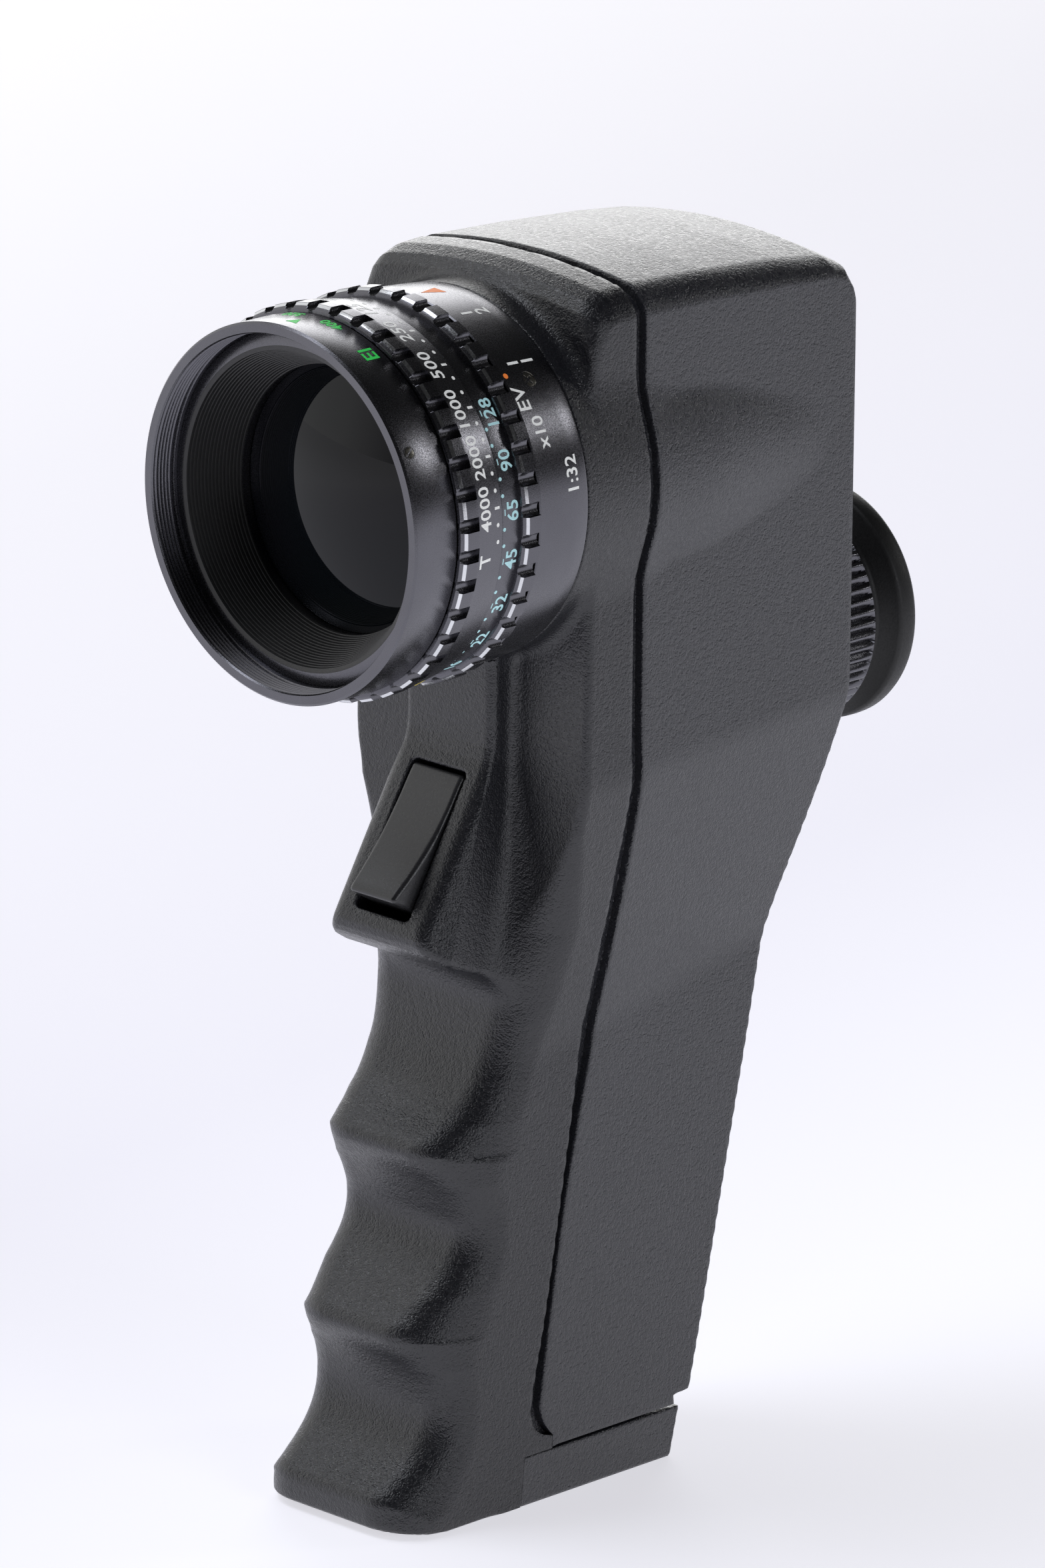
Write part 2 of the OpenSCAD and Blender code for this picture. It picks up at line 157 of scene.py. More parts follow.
def sample(distance, low, n, step, block=6):
    """Distances on a grid of n points. A block far from the surface gets one value."""
    centres = [low[k] + step * (block * np.arange(-(-n[k] // block)) + (block - 1) / 2)
               for k in range(3)]
    grid = np.stack(np.meshgrid(*centres, indexing="ij"), -1)
    coarse = distance(grid.reshape(-1, 3)).reshape(grid.shape[:3])
    for k in range(3):
        coarse = np.repeat(coarse, block, axis=k)
    field = coarse[:n[0], :n[1], :n[2]].astype(np.float32)
    near = np.abs(field) < step * block * 0.9 + 1.2
    for i in range(n[0]):
        at = np.argwhere(near[i])
        if len(at):
            p = np.column_stack([np.full(len(at), low[0] + step * i), low[1:] + step * at])
            field[i][near[i]] = distance(p)
    return field


def crossed_cells(inside):
    """Cells that the surface passes through, and a grid with each one's number."""
    n = inside.shape
    count = sum(inside[i:n[0] - 1 + i, j:n[1] - 1 + j, k:n[2] - 1 + k].astype(np.int8)
                for i in (0, 1) for j in (0, 1) for k in (0, 1))
    cells = np.argwhere((count > 0) & (count < 8))
    index = np.full(count.shape, -1, int)
    index[tuple(cells.T)] = np.arange(len(cells))
    return cells, index


def crossed_edges(field, inside, axis):
    """Grid edges along the axis that the surface crosses, the points where it does, and
    whether each edge leaves the solid there. Edges on the box's own faces are left out."""
    n = field.shape
    u, v = (axis + 1) % 3, (axis + 2) % 3
    a = np.take(inside, range(0, n[axis] - 1), axis)
    b = np.take(inside, range(1, n[axis]), axis)
    edge = np.argwhere(a != b)
    edge = edge[(edge[:, u] > 0) & (edge[:, v] > 0)
                & (edge[:, u] < n[u] - 1) & (edge[:, v] < n[v] - 1)]
    end = edge.copy()
    end[:, axis] += 1
    f0, f1 = field[tuple(edge.T)], field[tuple(end.T)]
    cross = edge.astype(float)
    cross[:, axis] += f0 / (f0 - f1)
    return edge, cross, inside[tuple(edge.T)]


def add_planes(sums, cell, at, normal):
    """Adds the surface plane at each crossing to the 13 sums of its cell: six of the normals'
    products, three of the pull along them, three of the points, and the count."""
    along = (normal * at).sum(1)
    rows = [normal[:, i] * normal[:, j] for i in range(3) for j in range(i, 3)]
    rows += [normal[:, i] * along for i in range(3)]
    rows += [at[:, i] for i in range(3)] + [np.ones(len(at))]
    for total, row in zip(sums, rows):
        total += np.bincount(cell, row, sums.shape[1])


HOLD = 0.06  # how firmly a cell's point stays at the middle of its crossings
FLAT = 0.03  # below this spread of the normals a cell counts as flat


def cell_points(sums):
    """Where the planes of each cell meet, in steps from its corner, and whether they are
    nearly parallel."""
    xx, xy, xz, yy, yz, zz = sums[:6]
    gram = np.stack([xx, xy, xz, xy, yy, yz, xz, yz, zz], 1).reshape(-1, 3, 3)
    middle = (sums[9:12] / sums[12]).T
    pull = sums[6:9].T - np.einsum("nij,nj->ni", gram, middle)
    offset = np.linalg.solve(gram + HOLD * np.eye(3), pull[:, :, None])[:, :, 0]
    flat = np.linalg.eigvalsh(gram)[:, 1] / sums[12] < FLAT
    return np.clip(middle + offset, -0.05, 1.05), flat


def surface_net(distance, low, high, step):
    """A closed quad mesh of distance(points) = 0 inside the box, in millimetres, with a normal
    at each face corner. A cell's point lies where the surface planes that cross the cell's
    edges meet, so sharp edges stay sharp."""
    low, high = np.array(low, float), np.array(high, float)
    field = sample(distance, low, np.ceil((high - low) / step).astype(int) + 1, step)
    inside = field < 0
    cells, index = crossed_cells(inside)
    sums = np.zeros((13, len(cells)))
    faces = []
    for axis in range(3):
        u, v = (axis + 1) % 3, (axis + 2) % 3
        edge, cross, leaving = crossed_edges(field, inside, axis)
        value, normal = slope(distance, low + step * cross, step * 0.04)
        cross -= np.clip(value / step, -0.3, 0.3)[:, None] * normal
        ring = []
        for du, dv in ((-1, -1), (0, -1), (0, 0), (-1, 0)):
            corner = edge.copy()
            corner[:, u] += du
            corner[:, v] += dv
            cell = index[tuple(corner.T)]
            ring.append(cell)
            add_planes(sums, cell, cross - corner, normal)
        quad = np.stack(ring, 1)
        quad[~leaving] = quad[~leaving][:, ::-1]
        faces.append(quad)
    faces = np.vstack(faces)
    at, flat = cell_points(sums)
    verts = low + step * (cells + at)
    value, normal = slope(distance, verts, step * 0.15)
    verts[flat] -= np.clip(value, -step * 0.3, step * 0.3)[flat, None] * normal[flat]
    return verts, faces, corner_normals(distance, verts, faces, normal, flat, step)


def corner_normals(distance, verts, faces, normal, flat, step):
    """A normal for each face corner. At a sharp edge it is taken a little inside the face."""
    corner = normal[faces]
    face, k = np.nonzero(~flat[faces])
    at = verts[faces[face, k]]
    at = at + 0.33 * (verts[faces[face]].mean(1) - at)
    corner[face, k] = slope(distance, at, step * 0.08)[1]
    return corner


def slope(distance, p, h):
    """Value and unit gradient of a distance at the points."""
    g = np.empty_like(p)
    for k in range(3):
        e = np.zeros(3)
        e[k] = h
        g[:, k] = distance(p + e) - distance(p - e)
    return distance(p), g / np.maximum(np.linalg.norm(g, axis=1), 1e-9)[:, None]


def new_object(name, data):
    """An object in the scene."""
    obj = bpy.data.objects.new(name, data)
    bpy.context.scene.collection.objects.link(obj)
    return obj


def add_mesh(name, verts, faces, materials, normals=None, sharp=35.0, material_index=None):
    """A Blender mesh object from millimetre vertices."""
    mesh = bpy.data.meshes.new(name)
    mesh.from_pydata((np.asarray(verts, float) * MM).tolist(), [], [list(f) for f in faces])
    for m in materials if isinstance(materials, (list, tuple)) else [materials]:
        mesh.materials.append(m)
    mesh.polygons.foreach_set("use_smooth", np.ones(len(mesh.polygons), bool))
    if material_index is not None:
        mesh.polygons.foreach_set("material_index", np.asarray(material_index, np.int32))
    if normals is None:
        mesh.set_sharp_from_angle(angle=math.radians(sharp))
    else:
        mesh.normals_split_custom_set(np.asarray(normals, float).reshape(-1, 3).tolist())
    mesh.update()
    return new_object(name, mesh)


def piece(obj, body, slot, *nodes):
    """The object rides on a body and stands for the CAD nodes. Its slot argument is not used."""
    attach(obj, body)
    if nodes:
        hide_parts(*nodes)


def lens_points(radius, angle, s):
    """Points round the lens axis; the angle is in degrees from the top, towards +X."""
    a = np.radians(angle)
    x, z = radius * np.sin(a), AXIS_Z + radius * np.cos(a)
    return np.stack(np.broadcast_arrays(x, LIP_Y + s, z), -1)


def eye_points(radius, angle, y):
    """Points round the eyepiece axis; the angle is as in lens_points."""
    a = np.radians(angle)
    x, z = radius * np.sin(a), EYE_Z + radius * np.cos(a)
    return np.stack(np.broadcast_arrays(x, y, z), -1)


def spread(profile, angle):
    """Radius, distance along the axis and angle for every profile point at every angle."""
    profile = np.array(profile, float)
    r = np.repeat(profile[:, 0][:, None], len(angle), 1)
    s = np.repeat(profile[:, 1][:, None], len(angle), 1)
    return r, s, np.repeat(angle[None, :], len(profile), 0)


def closed_quads(m, n):
    """Faces over a grid of m by n points that joins up with itself both ways."""
    i, j = np.meshgrid(np.arange(m), np.arange(n), indexing="ij")
    i2, j2 = (i + 1) % m, (j + 1) % n
    return np.stack([i * n + j, i2 * n + j, i2 * n + j2, i * n + j2], -1).reshape(-1, 4)


def outward(verts, faces):
    """Faces turned so that the closed mesh has positive volume."""
    v, f = np.asarray(verts), np.asarray(faces)
    volume = np.einsum("ij,ij->", v[f[:, 0]], np.cross(v[f[:, 1]], v[f[:, 2]]))
    volume += np.einsum("ij,ij->", v[f[:, 0]], np.cross(v[f[:, 2]], v[f[:, 3]]))
    return f if volume > 0 else f[:, ::-1]


def turned(name, profile, place, material, count=192, change=None, sharp=35.0):
    """Turns a closed (radius, along) profile about an axis. change(radius, along, angle) can
    move the radius. The profile of a solid piece stops 0.01 mm short of the axis."""
    r, s, a = spread(profile, np.arange(count) * 360.0 / count)
    if change is not None:
        r = change(r, s, a)
    verts = place(r, a, s).reshape(-1, 3)
    faces = closed_quads(len(profile), count)
    return add_mesh(name, verts, outward(verts, faces), material, sharp=sharp)


# ---- materials

def new_material(name):
    """A material, its node tree, its shader and the object's coordinates."""
    m = bpy.data.materials.new(name)
    m.use_nodes = True
    tree = m.node_tree
    coords = tree.nodes.new("ShaderNodeTexCoord").outputs["Object"]
    return m, tree, tree.nodes["Principled BSDF"], coords


def set_inputs(node, values):
    for name, value in values.items():
        node.inputs[name].default_value = value


def link(tree, a, b):
    tree.links.new(a, b)


def noise(tree, coords, scale, detail=3.0, rough=0.6):
    """Noise with the scale in cycles per metre."""
    n = tree.nodes.new("ShaderNodeTexNoise")
    set_inputs(n, {"Scale": scale, "Detail": detail, "Roughness": rough})
    link(tree, coords, n.inputs["Vector"])
    return n.outputs["Fac"]


def ramp(tree, value, stops):
    """A colour ramp; stops are (position, colour or grey)."""
    r = tree.nodes.new("ShaderNodeValToRGB")
    while len(r.color_ramp.elements) < len(stops):
        r.color_ramp.elements.new(0.5)
    for e, (position, colour) in zip(r.color_ramp.elements, stops):
        e.position = position
        c = (colour,) * 3 if isinstance(colour, (int, float)) else colour
        e.color = (*c, 1.0)
    link(tree, value, r.inputs["Fac"])
    return r.outputs["Color"]


def bump(tree, heights, shader):
    """Bumps from (height socket, strength, distance in metres), chained."""
    normal = None
    for height, strength, distance in heights:
        b = tree.nodes.new("ShaderNodeBump")
        set_inputs(b, {"Strength": strength, "Distance": distance})
        link(tree, height, b.inputs["Height"])
        if normal is not None:
            link(tree, normal, b.inputs["Normal"])
        normal = b.outputs["Normal"]
    link(tree, normal, shader.inputs["Normal"])


def surface(name, dark, light, rough, grain, depth, metallic=0.0, specular=0.5, speckle=None):
    """A moulded or painted finish: colour drift, grain of that size in mm, and bump depth in mm.
    speckle is a second, finer grain: (size, depth)."""
    m, tree, shader, coords = new_material(name)
    drift = noise(tree, coords, 60.0, 4.0)
    fine = noise(tree, coords, 1000.0 / grain, 2.5)
    colour = ramp(tree, drift, [(0.3, dark), (0.7, light)])
    link(tree, colour, shader.inputs["Base Color"])
    link(tree, ramp(tree, fine, [(0.3, rough[0]), (0.7, rough[1])]), shader.inputs["Roughness"])
    set_inputs(shader, {"Metallic": metallic, "Specular IOR Level": specular})
    heights = [(fine, 0.6, depth * MM)]
    if speckle:
        heights.append((noise(tree, coords, 1000.0 / speckle[0], 1.0), 0.6, speckle[1] * MM))
    bump(tree, heights, shader)
    return m


def paint(name, colour):
    """Filled-in scale paint, slightly uneven. Its own light keeps it bright on the dark barrel."""
    m, tree, shader, coords = new_material(name)
    fine = noise(tree, coords, 5000.0, 2.0)
    worn = tuple(c * 0.8 for c in colour)
    link(tree, ramp(tree, fine, [(0.3, worn), (0.6, colour)]), shader.inputs["Base Color"])
    set_inputs(shader, {"Roughness": 0.55, "Emission Color": (*colour, 1),
                        "Emission Strength": 0.3})
    bump(tree, [(fine, 0.4, 0.01 * MM)], shader)
    return m


def glass_material(name, tint):
    """Clear glass with a slight haze."""
    m, tree, shader, coords = new_material(name)
    haze = noise(tree, coords, 300.0, 3.0)
    link(tree, ramp(tree, haze, [(0.4, tint), (0.7, tuple(c * 0.96 for c in tint))]),
         shader.inputs["Base Color"])
    link(tree, ramp(tree, haze, [(0.3, 0.0), (0.8, 0.03)]), shader.inputs["Roughness"])
    set_inputs(shader, {"Transmission Weight": 1.0, "IOR": 1.5})
    return m


def lens_material():
    """The dark, coated front of the lens: nearly black with a clear reflection."""
    m, tree, shader, coords = new_material("coated_lens")
    film = noise(tree, coords, 40.0, 1.0)
    link(tree, ramp(tree, film, [(0.35, (0.0035, 0.0055, 0.0065)), (0.65, (0.006, 0.006, 0.008))]),
         shader.inputs["Base Color"])
    dust = noise(tree, coords, 900.0, 3.0)
    link(tree, ramp(tree, dust, [(0.55, 0.015), (0.8, 0.05)]), shader.inputs["Roughness"])
    set_inputs(shader, {"Specular IOR Level": 0.24})
    return m


MATERIALS = {
    # Both shells are the same black plastic. The rear shell's lighter colour and higher specular
    # level are painted light on the side faces it shows; the front shell's darker colour is
    # painted shade on its front faces.
    "front": surface("shell_front", (0.0110, 0.0113, 0.0145), (0.0150, 0.0154, 0.0190),
                     (0.22, 0.40), 0.5, 0.18, specular=0.68, speckle=(0.21, 0.15)),
    "rear": surface("shell_rear", (0.0150, 0.0156, 0.0205), (0.0200, 0.0207, 0.0265),
                    (0.22, 0.40), 0.5, 0.18, specular=0.85, speckle=(0.21, 0.15)),
    "moulding": surface("moulding", (0.016, 0.0162, 0.0175), (0.02, 0.0202, 0.022),
                        (0.25, 0.36), 0.3, 0.02, specular=0.7),
    "barrel": surface("barrel_black", (0.125, 0.124, 0.137), (0.15, 0.149, 0.164),
                      (0.20, 0.34), 0.16, 0.015, metallic=1.0),
    "baffle": surface("baffle_black", (0.006, 0.006, 0.0062), (0.009, 0.009, 0.0095),
                      (0.36, 0.5), 0.14, 0.01, specular=0.7),
    "edge": surface("bright_edge", (0.62, 0.63, 0.65), (0.8, 0.81, 0.83), (0.12, 0.25), 0.3,
                    0.006, metallic=1.0),
    "rubber": surface("rubber", 0.005, 0.008, (0.42, 0.58), 0.25, 0.03),
    "steel": surface("steel", (0.4, 0.4, 0.41), (0.5, 0.5, 0.51), (0.25, 0.4), 0.2, 0.01,
                     metallic=1.0),
    "screw": surface("dark_screw", (0.1, 0.095, 0.08), (0.2, 0.19, 0.165), (0.22, 0.36), 0.2,
                     0.015, metallic=0.9),
    "brass": surface("brass", (0.6, 0.42, 0.16), (0.72, 0.55, 0.25), (0.2, 0.35), 0.2, 0.01,
                     metallic=1.0),
    "cell": surface("cell", (0.45, 0.42, 0.34), (0.55, 0.52, 0.42), (0.25, 0.35), 0.3, 0.01,
                    metallic=0.5),
    "mirror": surface("mirror", (0.75, 0.77, 0.78), (0.85, 0.87, 0.88), (0.02, 0.06), 0.5,
                      0.001, metallic=1.0),
    "board": surface("board", (0.02, 0.12, 0.05), (0.04, 0.2, 0.1), (0.3, 0.5), 0.4, 0.02),
    "display": surface("display", (0.2, 0.01, 0.008), (0.35, 0.03, 0.02), (0.1, 0.2), 0.4, 0.005),
    "plunger": surface("plunger", (0.5, 0.06, 0.04), (0.6, 0.08, 0.05), (0.2, 0.3), 0.4, 0.005),
    "white": paint("scale_white", (0.78, 0.79, 0.78)),
    "cyan": paint("scale_cyan", (0.42, 0.68, 0.72)),
    "green": paint("scale_green", (0.04, 0.62, 0.10)),
    "orange": paint("scale_orange", (0.85, 0.22, 0.04)),
    "yellow": paint("scale_yellow", (0.75, 0.6, 0.1)),
    "glass": glass_material("glass", (0.9, 0.93, 0.95)),
    "lens": lens_material(),
}

CAD_FINISH = {
    "steel": ["battery_spring", "trigger_pin", "trigger_spring", "photocell", "shell_screws"],
    "moulding": ["battery_tube", "switch_body", "chassis"],
    "barrel": ["lens_tube", "lens_retainer", "eye_cell", "eyepiece_tube"],
    "brass": ["door_contact"],
    "cell": ["battery"],
    "plunger": ["switch_plunger"],
    "screw": ["dioptre_screw"],
    "glass": ["rear_lens", "lower_prism", "field_screen", "eye_lens"],
    "mirror": ["main_mirror"],
    "display": ["display_bar"],
    "board": ["circuit_board"],
}


def finish_cad_nodes():
    """Procedural finishes on the CAD nodes that stay."""
    for key, names in CAD_FINISH.items():
        for name in names:
            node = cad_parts[name]
            if not node.material_slots:
                node.data.materials.append(None)
            for slot in node.material_slots:
                slot.material = MATERIALS[key]


# ---- body shape

FRONT_LINE = [(-21.6, -10), (-21.6, -2), (-22.1, 2.2), (-21.8, 4.5), (-19.6, 6.2), (-16.9, 8.3),
              (-15.1, 10.8), (-14.4, 13.5), (-14.9, 16.3), (-16.0, 18.6), (-17.6, 20.7),
              (-18.35, 22.3), (-17.7, 23.7), (-16.2, 25.0), (-14.1, 27.1), (-11.8, 29.5),
              (-10.3, 31.7), (-9.8, 34.1), (-10.6, 36.6), (-12.0, 39.2), (-13.7, 41.5),
              (-14.45, 43.0), (-13.9, 44.3), (-12.2, 45.6), (-10.4, 46.9), (-8.3, 48.9),
              (-6.5, 51.9), (-5.2, 55.5), (-4.2, 60), (-3.0, 65), (-1.7, 70), (-0.8, 75),
              (-0.4, 80), (-0.2, 84), (0.1, 100), (0.35, 120), (0.5, 138.5)]
TOP_LINE = [(0.9, 140.9), (1.9, 142.1), (4.0, 142.9), (7.5, 143.1), (20, 142.6), (32, 141.8),
            (39.5, 141.0), (41.9, 139.9), (42.65, 137.6)]
BACK_LINE = [(42.7, 130), (42.7, 110), (42.7, 92), (42.55, 88.4), (42.1, 85.5), (40.6, 78.4),
             (38.75, 71.6), (36.75, 65), (35.35, 59.2), (33.05, 47.8), (31.15, 39.0),
             (28.35, 25.8), (25.9, 14.3), (24.35, 7.5), (22.65, 0), (20.65, -10)]
# (height, radius) of the rounding along the body's front edges.
FRONT_ROUND = [(0, 5.6), (3, 6.2), (7, 5.2), (13.5, 4.6), (18.5, 5.2), (22.4, 7.6), (27, 5.4),
               (34, 4.6), (39.5, 5.2), (43, 7.6), (46.5, 5.6), (51, 5.0), (56, 5.4), (62, 5.8),
               (68, 5.2), (74, 3.0), (80, 1.2), (90, 0.9), (150, 1.0)]
# The shells' lower edge, with the foot in front and the door's opening behind.
BASE_LINE = [(-60, 5.6), (-24, 1.15), (-14.5, 0), (-3.03, 0), (-2.52, 5.87), (2.1, 5.87),
             (2.9, 6.03), (22.0, 6.05), (21.9, 7.2), (24.4, 7.5), (60, 7.5), (60, 200), (-60, 200)]
# The two edges of the groove between the shells.
GROOVE_FRONT = [(7.2, 90), (7.55, 83), (7.3, 73.5), (6.85, 65.3), (5.9, 54), (4.5, 44.1),
                (2.7, 33.5), (0.7, 22.1), (-0.8, 15.3), (-1.4, 11.8), (-1.35, 10.2),
                (-0.8, 8.9), (0.3, 8.0), (1.5, 7.55), (2.0, 7.45)]
GROOVE_REAR = [(8.75, 92), (9.05, 86), (9.3, 80.8), (9.1, 69.8), (8.1, 55), (6.0, 45.3),
               (3.7, 34.8), (1.35, 20.4), (0.15, 12.2), (0.2, 10.6), (0.7, 9.2), (1.5, 8.1),
               (2.06, 7.5)]
DOOR_LINE = [(-2.97, -9), (-2.97, 0.5), (-2.47, 5.8), (22.75, 5.8), (21.35, 0.0), (21.35, -9)]
HOUSING_LINE = [(6, 100.5), (-3.5, 100.5), (-3.5, 90.4), (-3.63, 88.7), (-4.05, 87.0),
                (-4.8, 85.5), (-14.18, 69.7), (-14.62, 68.7), (-14.6, 67.8), (-14.2, 67.0),
                (-13.4, 66.3), (-11.1, 64.8), (-4.4, 62.4), (6, 62.4)]
# (distance behind the lip, radius) of the fairing behind the barrel.
FAIRING = [(20, 21.3), (27, 21.2), (32, 21.05), (42, 20.65), (48.5, 20.4), (54, 19.9),
           (59, 19.3), (64, 18.75), (68, 18.2), (72, 17.2), (78, 15.0)]
FAIRING_ENDS = (27.0, 40.0)  # its front edge behind the lip, and the y it has died out at
# Edges of the side facet that leans out from grip to head: (height, rise, the y it holds at).
FACET_LOW = (54.7, 0.183, 7.7)
FACET_HIGH = (85.8, 0.0714, 8.6)
BACK_ROUND = 0.25
TOP_ROUND = 3.4
CROWN_R = 85.0
HOUSING_W = 6.9  # half width of the trigger housing's face
HOUSING_LENGTH = 22.8
FLANK_DEPTH = 3.6
FLANK_RISE = 0.68
POCKET = (4.3, 9.05)  # half width and half length of the trigger's pocket
POCKET_MIDDLE = -11.35
POCKET_ROUND = 0.8
RING_ROOM = (21.65, 26.95)  # radius, and depth behind the lip, of the fixed ring's seat
LAP, TONGUE = 2.0, 3.3  # how far the shells' halves overlap, seen from each one's edge
EYE_BORE = 9.5
BATTERY_HOLE = (10.5, 7.1, 9.5)  # y of its axis, radius, top
SCREW_AT = [(0.0, 46.0, 32.5), (9.5, 73.0, 38.9)]  # (x, z, y) of the shell screws' heads
POST_R, RECESS_R, SCREW_HOLE_R = 3.0, 2.5, 1.3
# (x limits, z limits) of the door's rails and of the slots they run in: web, then flange.
DOOR_RAILS = [((6.6, 8.0), (5.2, 7.5)), ((6.6, 9.2), (6.75, 7.5))]
RAIL_SLOTS = [((6.5, 8.1), (5, 7.6)), ((6.4, 9.4), (6.6, 7.6))]


def edge_map(edge, far):
    """Everything to one side of the groove: from its edge out to the far y."""
    top, foot = edge[0][0], edge[-1][0]
    return Map(np.vstack([[(top, 170)], spline(edge),
                          [(foot, 5.0), (foot, -20), (far, -20), (far, 170)]]))


def rounding_map():
    """Radius of the body's edges, from the front edges to the sharper back ones."""
    y, z = Map.plane()
    front = np.interp(z, *np.array(FRONT_ROUND).T)
    along = y + 0.13 * (90 - np.clip(z, 0, 90))
    radius = front + (BACK_ROUND - front) * smoothstep(2.0, 24.0, along)
    radius = radius + (TOP_ROUND - radius) * smoothstep(134, 141, z)
    return Map(values=radius.astype(np.float32))


def build_maps():
    outline = np.vstack([spline(FRONT_LINE), TOP_LINE, spline(BACK_LINE)])
    return {"outline": Map(outline), "base": Map(BASE_LINE), "door": Map(DOOR_LINE),
            "housing": Map(HOUSING_LINE), "radius": rounding_map(),
            "front": edge_map(GROOVE_FRONT, -60), "rear": edge_map(GROOVE_REAR, 60)}


MAPS = build_maps()
FAIRING_S = np.linspace(20, 78, 120)
FAIRING_R = np.interp(FAIRING_S, *spline(FAIRING, 12).T)


def facet_edge(edge, y):
    """Height of one edge of the side facet."""
    height, rise, at = edge
    return height + rise * (np.clip(y, -10, 45) - at)


def half_width(y, z):
    """Half width of the body: grip, leaning side facet, head."""
    low, high = facet_edge(FACET_LOW, y), facet_edge(FACET_HIGH, y)
    return GRIP_W + (HEAD_W - GRIP_W) * soft_clamp((z - low) / (high - low), 0.05)


def solid_body(p):
    """The two shells as one solid, down through the base."""
    x, y, z = np.abs(p[:, 0]), p[:, 1], p[:, 2]
    crown = x * x / (2 * CROWN_R) * smoothstep(112, 136, z)
    sides = (x - half_width(y, z)) * 0.98
    body = round_max(MAPS["outline"](y, z + crown), sides, MAPS["radius"](y, z))
    s = y - LIP_Y
    rho = np.hypot(x, z - AXIS_Z)
    front, back = FAIRING_ENDS
    fairing = round_max(rho - np.interp(s, FAIRING_S, FAIRING_R), front - s, 0.25)
    fairing = np.maximum(fairing, y - back)
    return soft_min(body, fairing, 1.7 - 1.3 * smoothstep(37, 44, s))


def trigger_frame(p):
    """Points in the frame of the leaning trigger face: across, out of the face, up the face."""
    y, z = p[:, 1] - TRIGGER_TOP[0], p[:, 2] - TRIGGER_TOP[1]
    c, s = math.cos(TRIGGER_LEAN), math.sin(TRIGGER_LEAN)
    return p[:, 0], -(y * c - z * s), y * s + z * c


def housing(p):
    """The trigger housing that stands out below the barrel. Its flanks flare towards the body,
    more at the lower end."""
    x, out, up = trigger_frame(p)
    flare = np.minimum(-out, FLANK_DEPTH * np.clip(-up / HOUSING_LENGTH, 0, 1))
    width = HOUSING_W + FLANK_RISE * np.maximum(flare, 0)
    return round_max(MAPS["housing"](p[:, 1], p[:, 2]), (np.abs(x) - width) * 0.84, 1.0)


def trigger_cut(p):
    """The pocket that the trigger sits in."""
    x, out, up = trigger_frame(p)
    q = np.stack([np.abs(x) - POCKET[0], np.abs(up - POCKET_MIDDLE) - POCKET[1]], 1) + POCKET_ROUND
    ring = np.minimum(q.max(1), 0) + np.linalg.norm(np.maximum(q, 0), axis=1) - POCKET_ROUND
    return np.maximum(ring, np.maximum(out - 8, -out - 9))


def tube_shape(p, radius, centre_z, y0, y1):
    """A round rod along Y, at x = 0."""
    rho = np.hypot(p[:, 0], p[:, 2] - centre_z) - radius
    return np.maximum(rho, np.maximum(y0 - p[:, 1], p[:, 1] - y1))


def box_shape(p, x, y, z):
    """A box between the pairs of limits, and its mirror image at -x."""
    q = np.stack([np.abs(np.abs(p[:, 0]) - (x[0] + x[1]) / 2) - (x[1] - x[0]) / 2,
                  np.abs(p[:, 1] - (y[0] + y[1]) / 2) - (y[1] - y[0]) / 2,
                  np.abs(p[:, 2] - (z[0] + z[1]) / 2) - (z[1] - z[0]) / 2], 1)
    return np.minimum(q.max(1), 0) + np.linalg.norm(np.maximum(q, 0), axis=1)


def based(p):
    """The solid body cut off along the shells' lower edge."""
    return round_max(solid_body(p), MAPS["base"](p[:, 1], p[:, 2]), 0.3)


def seam_round(z):
    """Rounding of the shells' seam edges: tight below the groove's end."""
    return 0.05 + 0.22 * smoothstep(7.5, 9.5, z)


def front_shell_shape(p):
    """The front half: hollow, with a lap for the rear half's tongue, room for the barrel's
    fixed ring and the pocket of the trigger."""
    y, z = p[:, 1], p[:, 2]
    fillet = 1.4 + 3.0 * smoothstep(88, 68, z)
    outer = soft_min(solid_body(p), housing(p), fillet)
    outer = round_max(outer, MAPS["base"](y, z), 0.5 - 0.43 * smoothstep(-9, -4, y))
    inner = based(p)
    edge = MAPS["front"](y, z)
    ring_room = np.maximum(np.hypot(p[:, 0], z - AXIS_Z) - RING_ROOM[0], y - LIP_Y - RING_ROOM[1])
    d = np.maximum(outer, -ring_room)
    d = np.maximum(d, -(inner + WALL))
    d = round_max(d, edge, seam_round(z))
    lap = np.maximum(inner + WALL / 2 - 0.05, -(edge + LAP))
    d = np.maximum(d, -lap)
    d = round_max(d, -trigger_cut(p), 0.3)
    return np.maximum(d, -tube_shape(p, TUBE_R, AXIS_Z, -40, 40))


def screw_places(d, x, y, z):
    """Adds the rear shell's screw posts, with their holes and the recesses for the heads."""
    for screw_x, screw_z, head_y in SCREW_AT:
        rho = np.hypot(x - screw_x, z - screw_z)
        post = np.maximum(rho - POST_R, np.maximum(5.2 - y, y - head_y + 1.0))
        d = np.minimum(d, post)
        d = round_max(d, -np.maximum(rho - RECESS_R, head_y - 4.0 - y), 0.15)
        d = np.maximum(d, SCREW_HOLE_R - rho)
    return d


